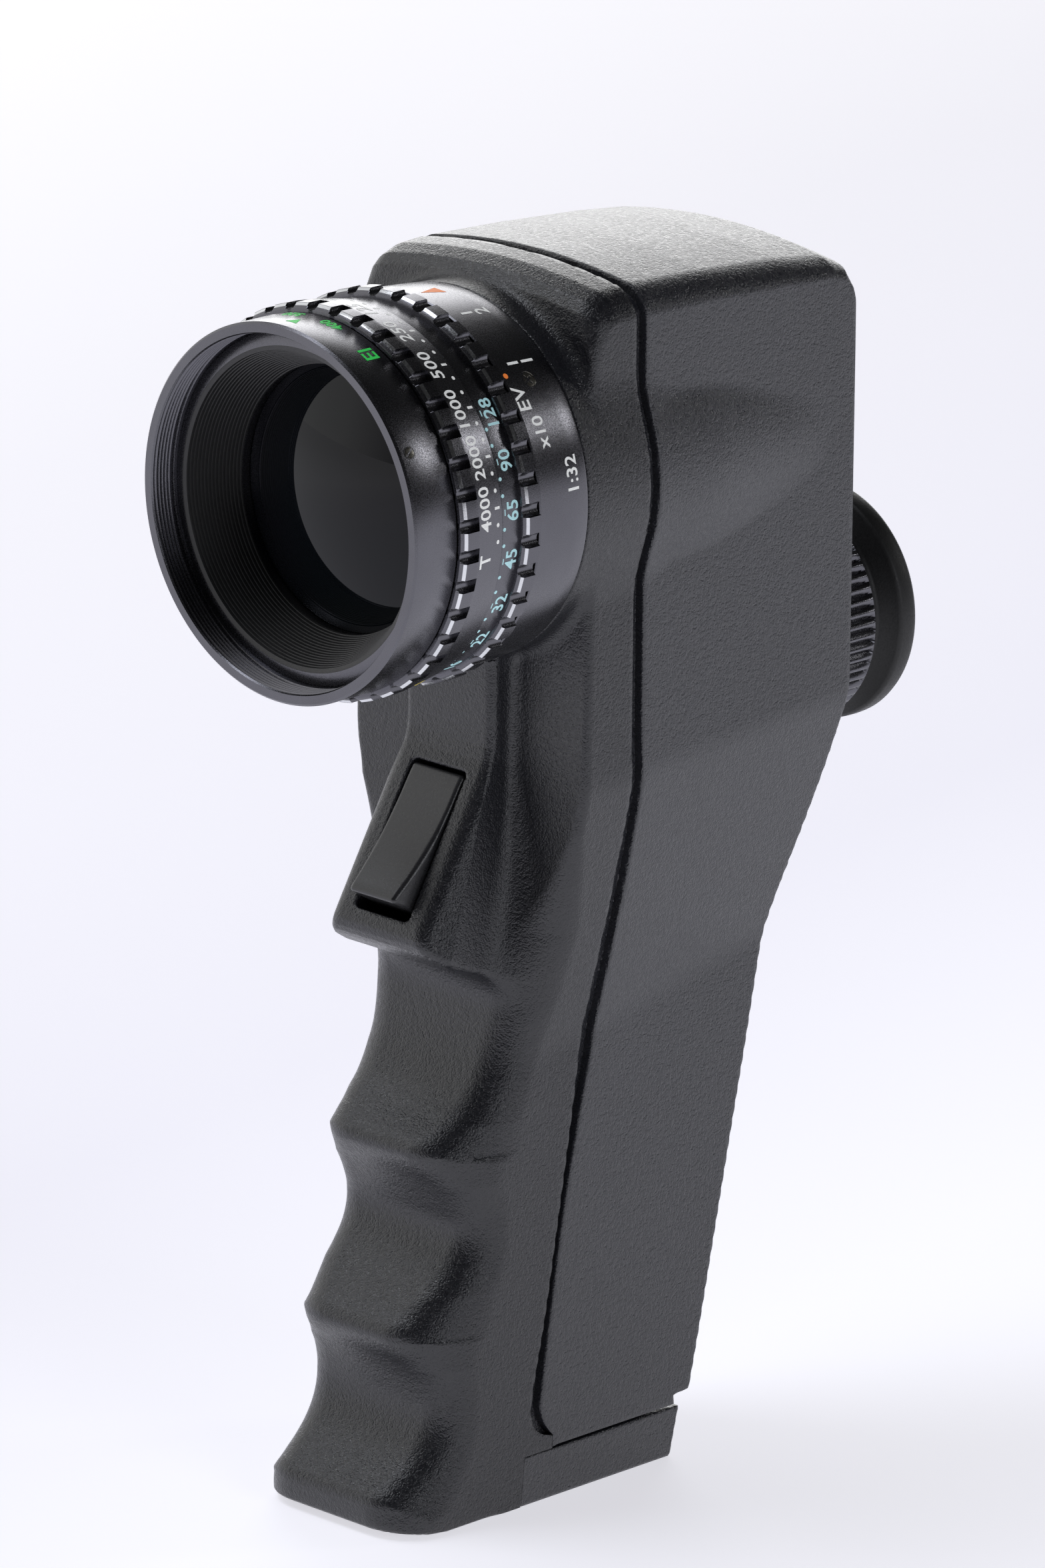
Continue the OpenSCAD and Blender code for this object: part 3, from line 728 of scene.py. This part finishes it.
def rear_shell_shape(p):
    """The rear half: hollow, with a tongue into the front half, screw posts, openings for the
    lens tube, the eyepiece and the battery, and slots for the door's rails."""
    y, z = p[:, 1], p[:, 2]
    inner = based(p)
    edge = MAPS["rear"](y, z)
    wall = np.maximum(inner, -(inner + WALL))
    d = round_max(wall, edge, seam_round(z))
    tongue = np.maximum(wall, np.maximum(inner + WALL / 2, edge - TONGUE))
    d = screw_places(np.minimum(d, tongue), np.abs(p[:, 0]), y, z)
    d = np.maximum(d, -tube_shape(p, TUBE_R, AXIS_Z, -40, 18))
    d = np.maximum(d, -tube_shape(p, EYE_BORE, EYE_Z, 30, 50))
    for slot_x, slot_z in RAIL_SLOTS:
        d = np.maximum(d, -box_shape(p, slot_x, (2, 40), slot_z))
    hole_y, hole_r, top = BATTERY_HOLE
    return np.maximum(d, -np.maximum(np.hypot(p[:, 0], y - hole_y) - hole_r, z - top))


def door_shape(p):
    """The battery door: the rear of the foot, with two hooked rails."""
    tight = 0.07 + 0.2 * smoothstep(2.0, 4.5, p[:, 1])
    d = round_max(solid_body(p), MAPS["door"](p[:, 1], p[:, 2]), tight)
    d = round_max(d, -p[:, 2], 0.35)
    for rail_x, rail_z in DOOR_RAILS:
        d = np.minimum(d, box_shape(p, rail_x, (3, 21.6), rail_z))
    return d


def trigger_shape(p):
    """The trigger: a hollowed face that stands out towards its lower end, the hub round its
    pin, a web between the two, and the arm that works the switch."""
    x, out, up = trigger_frame(p)
    x = np.abs(x)
    width, proud = 3.5, 2.75
    hollow = 41.0 - np.hypot(out - 41.2, up + 4.5)
    face = soft_min(-(out - proud), -(out - (0.1 + (-up - 2.9) * 0.19)), 0.3)
    front = -soft_min(face, -hollow, 0.4)
    ends = np.maximum(np.maximum(-up - 19.1, up + 2.75), -out - 2.6)
    d = round_max(front, x - width - np.clip(0.2 * (proud - out), 0, 0.5), 0.5)
    d = round_max(d, ends, 0.5)
    from_pin = np.hypot(p[:, 1] - TRIGGER_PIN[0], p[:, 2] - TRIGGER_PIN[1])
    hub = round_max(from_pin - 1.9, x - width, 0.3)
    web = np.maximum(np.maximum(x - width, np.abs(up + 6.0) - 3.0), np.maximum(-out - 5.2, out))
    arm = np.maximum(np.maximum(x - 1.5, np.abs(up + 13.6) - 1.6), np.maximum(-out - 9.4, out))
    d = np.minimum(d, np.minimum(hub, np.minimum(arm, web)))
    return np.maximum(d, 1.15 - from_pin)


def moulded(name, shape, low, high, step, material):
    """A mesh object of a distance shape inside the box."""
    verts, faces, normals = surface_net(shape, low, high, step)
    return add_mesh(name, verts, faces, material, normals=normals)


def build_body():
    """The four moulded pieces; the step of each mesh is in mm."""
    step = 0.42
    piece(moulded("front_shell_moulding", front_shell_shape, (-22.6, -26, -1.5), (22.6, 12, 145),
                  step, MATERIALS["front"]), "body", "shell_front", "front_shell")
    piece(moulded("rear_shell_moulding", rear_shell_shape, (-22.6, -6, 4), (22.6, 45, 145),
                  step, MATERIALS["rear"]), "body", "shell_rear", "rear_shell")
    piece(moulded("battery_door_moulding", door_shape, (-13.5, -5, -1.5), (13.5, 25, 9),
                  0.35, MATERIALS["rear"]), "door", "shell_rear", "battery_door")
    piece(moulded("trigger_moulding", trigger_shape, (-4.6, -18, 66), (4.6, 8, 92),
                  0.22, MATERIALS["moulding"]), "trigger_lever", "moulding", "trigger")


# ---- lens barrel

def barrel_profile():
    """Closed (radius, distance behind the lip) profile with thread and ribbed baffle."""
    points = [(20.25, 0.0), (21.2, 0.0), (BARREL_R, 0.25), (BARREL_R, 6.1), (21.35, 6.28),
              (RING_BORE, 6.28), (RING_BORE, 5.7), (17.35, 5.7), (17.35, 9.3), (15.2, 9.3)]
    for rib in range(16):
        r, s = 15.2 + 0.17 * rib, 9.3 - 0.39 * rib
        points += [(r + 0.02, s - 0.16), (r - 0.03, s - 0.2), (r + 0.02, s - 0.36),
                   (r + 0.15, s - 0.38)]
    points += [(18.1, 3.0), (18.3, 2.95), (20.1, 3.42), (20.35, 3.3), (20.35, 2.9)]
    for groove in range(5):
        s = 2.75 - 0.5 * groove
        points += [(20.05, s), (20.05, s - 0.08), (20.28, s - 0.22), (20.28, s - 0.3)]
    return points + [(20.12, 0.22)]


def notch_depth(r, s, angle, s0, s1):
    """Radius after the round notches between the grip teeth, from s0 to s1 behind the lip."""
    delta = np.radians((angle % TOOTH_PITCH) - TOOTH_PITCH / 2)
    side = NOTCH_AT * np.sin(delta)
    floor = NOTCH_AT * np.cos(delta) - np.sqrt(np.maximum(NOTCH_R ** 2 - side ** 2, 0))
    cut = (np.abs(side) < NOTCH_R) & (s > s0) & (s < s1)
    return np.where(cut, np.minimum(r, floor), r)


def tooth_angles():
    """Angles round a ring, close together where the notches are."""
    half = math.degrees(math.asin(NOTCH_R / NOTCH_AT))
    side = np.array([0.3, 0.55, 0.75, 0.88, 0.96, 0.999, 1.02])
    across = np.concatenate([-side[::-1], [0.0], side]) * half + TOOTH_PITCH / 2
    one = np.concatenate([[0.0, 0.8, 1.6], across, [7.4, 8.2]])
    return (np.arange(TOOTH_COUNT)[:, None] * TOOTH_PITCH + one[None, :]).ravel()


def toothed_ring(name, profile, edge, s0, s1):
    """A ring with grip teeth; segment number edge of its profile is the bright cut edge."""
    r, s, a = spread(profile, tooth_angles())
    cut = notch_depth(r, s, a, s0, s1)
    verts = lens_points(cut, a, s).reshape(-1, 3)
    quads = closed_quads(*r.shape)
    bright = (cut == r).ravel()[quads].all(1) & ((quads // r.shape[1]).min(1) == edge)
    return add_mesh(name, verts, outward(verts, quads), [MATERIALS["barrel"], MATERIALS["edge"]],
                    sharp=28.0, material_index=bright)


# (radius, distance behind the lip) of the three rings.
SPEED_PROFILE = (
    [(RING_BORE, 6.45), (21.75, 6.45), (21.8, 6.47), (22.08, 6.75), (22.36, 7.03)]
    + [(TOOTH_R - 0.02 * (s - 7.05), s) for s in np.linspace(7.05, 8.78, 5)]
    + [(22.36, 8.81), (22.3, 9.3), (22.02, 11.2), (21.76, 12.9), (21.66, 13.03),
       (RING_BORE, 13.03)])
APERTURE_PROFILE = (
    [(RING_BORE, 13.2), (21.38, 13.2), (21.48, 13.3), (21.42, 15.9), (21.4, 15.98), (21.8, 16.0),
     (21.86, 16.03), (22.1, 16.28), (22.36, 16.55)]
    + [(TOOTH_R, s) for s in np.linspace(16.6, 18.3, 5)]
    + [(22.3, 18.38), (21.2, 18.4), (RING_BORE, 18.4)])
BASE_PROFILE = [(RING_BORE, 18.62), (21.55, 18.62), (21.75, 18.68), (21.88, 18.85), (21.72, 21.0),
                (21.48, 24.4), (21.3, 26.5), (21.2, 26.8), (21.0, 26.88), (RING_BORE, 26.88)]


def ring_radius(profile, s):
    """Outer radius of a ring at the distance behind the lip."""
    outer = np.array([p for p in profile if p[0] > 21.1], float)
    return np.interp(s, outer[:, 1], outer[:, 0])


def wrap(obj, s, angle, radius_at):
    """Bends a flat piece in the XY plane, in mm, onto the barrel. Its +X runs anticlockwise
    as seen from the front and its +Y points to the lip."""
    for v in obj.data.vertices:
        along = s - v.co.y
        r = float(radius_at(along))
        v.co = Vector(lens_points(r + v.co.z, angle - math.degrees(v.co.x / r), along)) * MM
    obj.data.update()


def flat_text(name, text, height, material):
    """Text as a closed thin solid, in millimetres, centred on the origin."""
    curve = bpy.data.curves.new(name + "_curve", "FONT")
    curve.body = text
    curve.size = height * FONT_SCALE
    curve.align_x = curve.align_y = "CENTER"
    curve.extrude = PAINT_DEPTH / 2
    curve.offset = STROKE_EXTRA
    curve.resolution_u = 3
    curve.space_character = 1.04
    holder = new_object(name + "_text", curve)
    bpy.context.view_layer.update()
    mesh = bpy.data.meshes.new_from_object(holder)
    mesh.name = name
    bpy.data.objects.remove(holder)
    bpy.data.curves.remove(curve)
    co = np.zeros(len(mesh.vertices) * 3)
    mesh.vertices.foreach_get("co", co)
    co = co.reshape(-1, 3)
    co -= (co.max(0) + co.min(0)) / 2
    mesh.vertices.foreach_set("co", co.ravel())
    mesh.materials.clear()
    mesh.materials.append(material)
    return new_object(name, mesh)


def flat_shape(name, outline, material):
    """A thin closed plate with the outline, in millimetres."""
    n = len(outline)
    verts = [(x, y, z) for z in (-PAINT_DEPTH / 2, PAINT_DEPTH / 2) for x, y in outline]
    faces = [list(range(n))[::-1], list(range(n, 2 * n))]
    faces += [[i, (i + 1) % n, n + (i + 1) % n, n + i] for i in range(n)]
    mesh = bpy.data.meshes.new(name)
    mesh.from_pydata(verts, [], faces)
    mesh.materials.append(material)
    return new_object(name, mesh)


def join(objs, name):
    """One object from several meshes."""
    with bpy.context.temp_override(active_object=objs[0], selected_editable_objects=objs,
                                   selected_objects=objs):
        bpy.ops.object.join()
    objs[0].name = name
    objs[0].data.name = name
    return objs[0]


def dot_outline(r):
    return [(r * math.cos(t), r * math.sin(t)) for t in np.arange(14) * math.tau / 14]


def bar_outline(x, y):
    return [(-x, -y), (x, -y), (x, y), (-x, y)]


def marks(name, items, radius_at, body):
    """Scale marks on one ring: (text or outline, s, angle, height, material key)."""
    objs = []
    for k, (shape, s, angle, height, key) in enumerate(items):
        tag = f"{name}_{k}"
        if isinstance(shape, str):
            obj = flat_text(tag, shape, height, MATERIALS[key])
        else:
            obj = flat_shape(tag, shape, MATERIALS[key])
        wrap(obj, s, angle, radius_at)
        objs.append(obj)
    piece(join(objs, name), body, "barrel_black")


def lens_profile():
    """Front element: a dome seen through the baffle."""
    dome, edge, axis = 42.9, 17.3, 0.01
    r = np.concatenate([[axis], np.linspace(1.0, edge, 18)])
    front = [(x, 7.65 + dome - math.sqrt(dome ** 2 - x * x)) for x in r]
    return front + [(edge, 13.5), (axis, 13.5)]


HEAD_ROWS = [0.08, 0.16, 0.3, 0.45, 0.6, 0.75, 0.9, 0.97, 1.0]
# (radius, height) of the rows round a screw's head: the gap's floor, its rim, the underside.
SEAT_ROWS = [(1.02, -0.15), (1.14, 0.035), (1.16, -0.3)]
SLOT_FLOOR = -0.12


def head_height(x, y, radius, slots):
    """Height of a crowned screw head: one slot runs right across, a cross of two stops short."""
    r = math.hypot(x, y)
    half_slot = 0.15 * radius
    reach = (0.7 if slots == 2 else 0.99) * radius
    if r < reach and (abs(x) < half_slot or (slots == 2 and abs(y) < half_slot)):
        return SLOT_FLOOR
    return 0.05 - 0.04 * (r / radius) ** 4


def screw_head(name, radius, slots, s, angle, barrel_r):
    """A small screw head set in the barrel."""
    turn = [(math.cos(t), math.sin(t)) for t in np.arange(72) * math.tau / 72]
    verts, faces = [(0.0, 0.0, SLOT_FLOOR)], []
    for ratio in HEAD_ROWS:
        for x, y in turn:
            x, y = ratio * radius * x, ratio * radius * y
            verts.append((x, y, head_height(x, y, radius, slots)))
    for ratio, height in SEAT_ROWS:
        verts += [(ratio * radius * x, ratio * radius * y, height) for x, y in turn]
    n = len(turn)
    last = len(verts) - n
    for j in range(n):
        after = (j + 1) % n
        faces.append((0, 1 + j, 1 + after))
        faces += [(a + j, a + n + j, a + n + after, a + after) for a in range(1, last, n)]
    faces.append(tuple(range(last, last + n))[::-1])
    v = np.array(verts) @ Matrix.Rotation(0.6, 3, "Z").transposed()
    place = lens_points(barrel_r + v[:, 2], angle - np.degrees(v[:, 0] / barrel_r), s - v[:, 1])
    return add_mesh(name, place, faces, MATERIALS["screw"], sharp=25.0)


def speed_marks():
    """Shutter times with a bar at each stop and dots at the thirds, and four yellow numbers
    underneath."""
    items = []
    numbers_s, ticks_s = 10.0, 12.1
    labels = "1/4 1/2 1 2 4 8 15 30 60 125 250 500 1000 2000 4000 T".split()
    for k, label in enumerate(labels, 1 - len(labels)):
        height = 1.9 * (0.94 if len(label) > 3 else 1.0)
        items.append((label, numbers_s, 97.1 + STOP * k, height, "white"))
    for k in range(-8, 6):
        bar = 7.6 + STOP * k
        items.append((bar_outline(0.15, 0.42), ticks_s, bar, 0, "white"))
        items += [(dot_outline(0.24), ticks_s, bar + third, 0, "white") for third in THIRDS]
    for k, label in enumerate(["4", "8", "15", "30"]):
        items.append((label, numbers_s, 148.0 + STOP * k, 1.6, "yellow"))
    marks("speed_marks", items, lambda s: ring_radius(SPEED_PROFILE, s), "speed_dial")


def aperture_marks():
    """Aperture numbers with a bar at each stop and dots at the thirds."""
    items = []
    labels = "128 90 65 45 32 22 16 11 8 5.6 4 2.8 2 1.4 1".split()
    for k, label in enumerate(labels):
        bar = 54.9 + STOP * k
        items.append((label, 14.85, bar - 0.1, 1.75, "cyan"))
        items.append((bar_outline(0.34, 0.3), 13.42, bar, 0, "cyan"))
        items += [(dot_outline(0.22), 13.5, bar + third, 0, "cyan") for third in THIRDS]
    marks("aperture_marks", items, lambda s: ring_radius(APERTURE_PROFILE, s), "aperture_dial")


def base_marks():
    """Index marks and captions of the fixed ring."""
    items = [(bar_outline(0.17, 0.85), 21.5, 42.3, 0, "white"),
             ("1", 23.8, 42.3, 1.9, "white"),
             (bar_outline(0.17, 0.85), 21.5, 20.1, 0, "white"),
             ("2", 23.8, 20.1, 1.9, "white"),
             ([(-0.95, -1.5), (0.95, -1.5), (0.0, 1.5)], 22.0, 3.6, 0, "orange"),
             (dot_outline(0.34), 19.3, 46.0, 0, "orange"),
             ("EV", 19.9, 53.6, 1.95, "white"),
             ("x10", 20.9, 64.6, 1.75, "white"),
             ("1:32", 24.4, 78.3, 1.8, "white")]
    marks("base_marks", items, lambda s: ring_radius(BASE_PROFILE, s), "body")


def barrel_marks():
    """Film speed window marks near the top of the front barrel."""
    items = [([(-0.8, 0.75), (0.8, 0.75), (0.0, -0.75)], 2.6, 0.0, 0, "green"),
             ("400", 4.9, 8.6, 1.35, "green"),
             ("320", 4.9, -7.5, 1.35, "green"),
             ("EI", 4.3, 26.5, 2.0, "green")]
    marks("barrel_marks", items, lambda s: BARREL_R, "body")


def darken_baffle(barrel):
    """Gives the inside of the front barrel its own finish."""
    barrel.data.materials.append(MATERIALS["baffle"])
    for poly in barrel.data.polygons:
        x, y, z = poly.center / MM
        if math.hypot(x, z - AXIS_Z) < 18.4 and y - LIP_Y < 9.2:
            poly.material_index = 1


def build_barrel():
    black = MATERIALS["barrel"]
    barrel = turned("front_barrel_turned", barrel_profile(), lens_points, black, count=256)
    darken_baffle(barrel)
    piece(barrel, "body", "barrel_black", "front_barrel")
    piece(toothed_ring("speed_ring_turned", SPEED_PROFILE, 3, 6.0, 8.79), "speed_dial",
          "barrel_black", "speed_ring")
    piece(toothed_ring("aperture_ring_turned", APERTURE_PROFILE, 7, 15.99, 19.0),
          "aperture_dial", "barrel_black", "aperture_ring")
    piece(turned("front_lens_polished", lens_profile(), lens_points, MATERIALS["lens"]), "body",
          "barrel_black", "front_lens")
    piece(screw_head("barrel_set_screw_slotted", 0.66, 1, 1.5, 60.9, BARREL_R), "body",
          "barrel_black", "barrel_set_screw")
    piece(screw_head("base_screw_crossed", 0.9, 2, 22.3, 48.5, ring_radius(BASE_PROFILE, 22.3)),
          "body", "barrel_black", "base_screw")
    piece(turned("base_ring_turned", BASE_PROFILE, lens_points, black, count=256), "body",
          "barrel_black", "base_ring")
    speed_marks()
    aperture_marks()
    base_marks()
    barrel_marks()


# ---- eyepiece

# (radius, y) of the dioptre ring and the eyecup.
DIOPTRE_PROFILE = [(9.55, 44.8), (12.9, 44.8), (13.25, 45.0), (13.3, 45.25), (13.3, 46.5),
                   (13.3, 48.6), (13.3, 50.6), (13.3, 52.1), (13.2, 52.4), (12.8, 52.6),
                   (9.55, 52.6)]
CUP_PROFILE = [(9.9, 52.62), (11.3, 52.62), (11.3, 54.6), (11.5, 54.95), (13.55, 55.85),
               (13.85, 56.1), (13.95, 56.4), (13.97, 57.4), (13.93, 58.1), (13.75, 58.5),
               (13.4, 58.68), (12.9, 58.6), (11.7, 57.9), (10.6, 57.0), (10.1, 56.0), (9.9, 55.0)]


def knurl(r, y, angle):
    """Radius after the knurling's grooves."""
    wave = (angle * KNURL_COUNT / 360.0) % 1.0
    groove = 0.55 * np.abs(2 * wave - 1) ** 1.5
    return np.where((r > 12.9) & (y > 45.2) & (y < 52.2), r - groove, r)


def build_eyepiece():
    piece(turned("dioptre_ring_turned", DIOPTRE_PROFILE, eye_points, MATERIALS["barrel"],
                 count=KNURL_COUNT * 14, change=knurl),
          "dioptre_dial", "barrel_black", "dioptre_ring")
    piece(turned("eyecup_moulded", CUP_PROFILE, eye_points, MATERIALS["rubber"], count=160,
                 sharp=50), "dioptre_dial", "rubber", "eyecup")


# ---- studio

LIT_POINT = Vector((0, 0.02, 0.08))


def area_light(name, at, size, power, colour=(1, 1, 1)):
    """A square lamp turned to the object; metres and watts."""
    data = bpy.data.lights.new(name, "AREA")
    data.shape = "RECTANGLE"
    data.size = data.size_y = size
    data.energy = power
    data.color = colour
    obj = new_object(name, data)
    obj.location = at
    obj.rotation_euler = (LIT_POINT - Vector(at)).to_track_quat("-Z", "Y").to_euler()


def dot_ramp(tree, coords, direction, stops):
    """A ramp of how far the coordinates go in a direction."""
    dot = tree.nodes.new("ShaderNodeVectorMath")
    dot.operation = "DOT_PRODUCT"
    dot.inputs[1].default_value = direction
    link(tree, coords, dot.inputs[0])
    return ramp(tree, dot.outputs["Value"], stops)


def build_floor():
    """White paper whose emission is painted light: brighter than its light makes it and brightest
    far to the left of the picture, as it is overexposed there, with a painted shadow where it dips
    darker about 0.1 m out to the object's left."""
    m, tree, shader, coords = new_material("floor_white")
    drift = noise(tree, coords, 3.0, 3.0)
    link(tree, ramp(tree, drift, [(0.3, (0.74, 0.745, 0.81)), (0.7, (0.77, 0.775, 0.84))]),
         shader.inputs["Base Color"])
    # Emission ramp: painted light that rises far to the left, with a painted shadow dipping at 0.1
    # m to the object's left.
    own = dot_ramp(tree, coords, (-0.98, -0.18, 0.0),
                   [(0.0, (0.61, 0.605, 0.64)), (0.1, (0.51, 0.50, 0.55)),
                    (0.3, (0.57, 0.56, 0.59)), (0.5, (0.72, 0.71, 0.72))])
    link(tree, own, shader.inputs["Emission Color"])
    set_inputs(shader, {"Emission Strength": 1.0, "Roughness": 0.8, "Specular IOR Level": 0.1})
    side, front = 6000.0, -3000.0
    floor = add_mesh("floor", [(-side, front, 0), (side, front, 0), (side, side, 0),
                               (-side, side, 0)], [(0, 1, 2, 3)], m)


def build_world():
    """White all round as the camera sees it. The object is lit by a white sweep behind it, on
    its right hand, and a dimmer one beside it, in a room that is otherwise dark. The ramps'
    positions are cosines of the angle from the middle of each sweep."""
    world = bpy.data.worlds.new("studio")
    bpy.context.scene.world = world
    world.use_nodes = True
    tree = world.node_tree
    tree.nodes.clear()
    out = tree.nodes.new("ShaderNodeOutputWorld")
    coords = tree.nodes.new("ShaderNodeTexCoord").outputs["Generated"]
    behind = dot_ramp(tree, coords, Vector((-0.67, 0.70, 0.20)).normalized(),
                      [(0.6, 0.006), (0.90, 0.02), (0.975, 0.85)])
    beside = dot_ramp(tree, coords, Vector((-0.90, -0.42, 0.1)).normalized(),
                      [(0.55, 0.006), (0.9, 0.26)])
    both = tree.nodes.new("ShaderNodeVectorMath")
    both.operation = "MAXIMUM"
    link(tree, behind, both.inputs[0])
    link(tree, beside, both.inputs[1])
    lit = tree.nodes.new("ShaderNodeBackground")
    set_inputs(lit, {"Strength": 4.0})
    link(tree, both.outputs["Vector"], lit.inputs["Color"])
    seen = tree.nodes.new("ShaderNodeBackground")
    set_inputs(seen, {"Color": (0.87, 0.87, 0.945, 1), "Strength": 1.0})
    mix = tree.nodes.new("ShaderNodeMixShader")
    path = tree.nodes.new("ShaderNodeLightPath")
    link(tree, path.outputs["Is Camera Ray"], mix.inputs["Fac"])
    link(tree, lit.outputs[0], mix.inputs[1])
    link(tree, seen.outputs[0], mix.inputs[2])
    link(tree, mix.outputs[0], out.inputs["Surface"])


def build_lights():
    area_light("top_softbox", (-0.4, -0.25, 1.05), 0.5, 3.0, (0.90, 0.93, 1.0))
    area_light("key", (0.62, 1.2, 0.58), 0.2, 1.1)
    area_light("right_softbox", (1.15, -0.05, 0.5), 0.5, 2.0, (0.92, 0.94, 1.0))


CAMERA_AT = Vector((857.07, -863.35, 451.39)) * MM
CAMERA_TURN = (44.51, 16.87, -0.52)  # azimuth, elevation and roll in degrees


def build_camera():
    """The photograph's view, from in front of the meter's left side and above it."""
    azimuth, elevation, roll = (math.radians(v) for v in CAMERA_TURN)
    data = bpy.data.cameras.new("camera")
    data.sensor_width = 36.0
    data.lens = 260.2
    data.clip_start = 0.05
    data.clip_end = 50.0
    cam = new_object("camera", data)
    back = Vector((math.sin(azimuth) * math.cos(elevation),
                   -math.cos(azimuth) * math.cos(elevation), math.sin(elevation)))
    right = Vector((math.cos(azimuth), math.sin(azimuth), 0))
    up = back.cross(right)
    c, s = math.cos(roll), math.sin(roll)
    right, up = c * right - s * up, s * right + c * up
    m = Matrix((right, up, back)).transposed().to_4x4()
    m.translation = CAMERA_AT
    cam.matrix_world = m
    bpy.context.scene.camera = cam


build_camera()
build_world()
build_lights()
build_floor()
finish_cad_nodes()
build_body()
build_barrel()
build_eyepiece()

bpy.context.scene.view_settings.view_transform = "Standard"
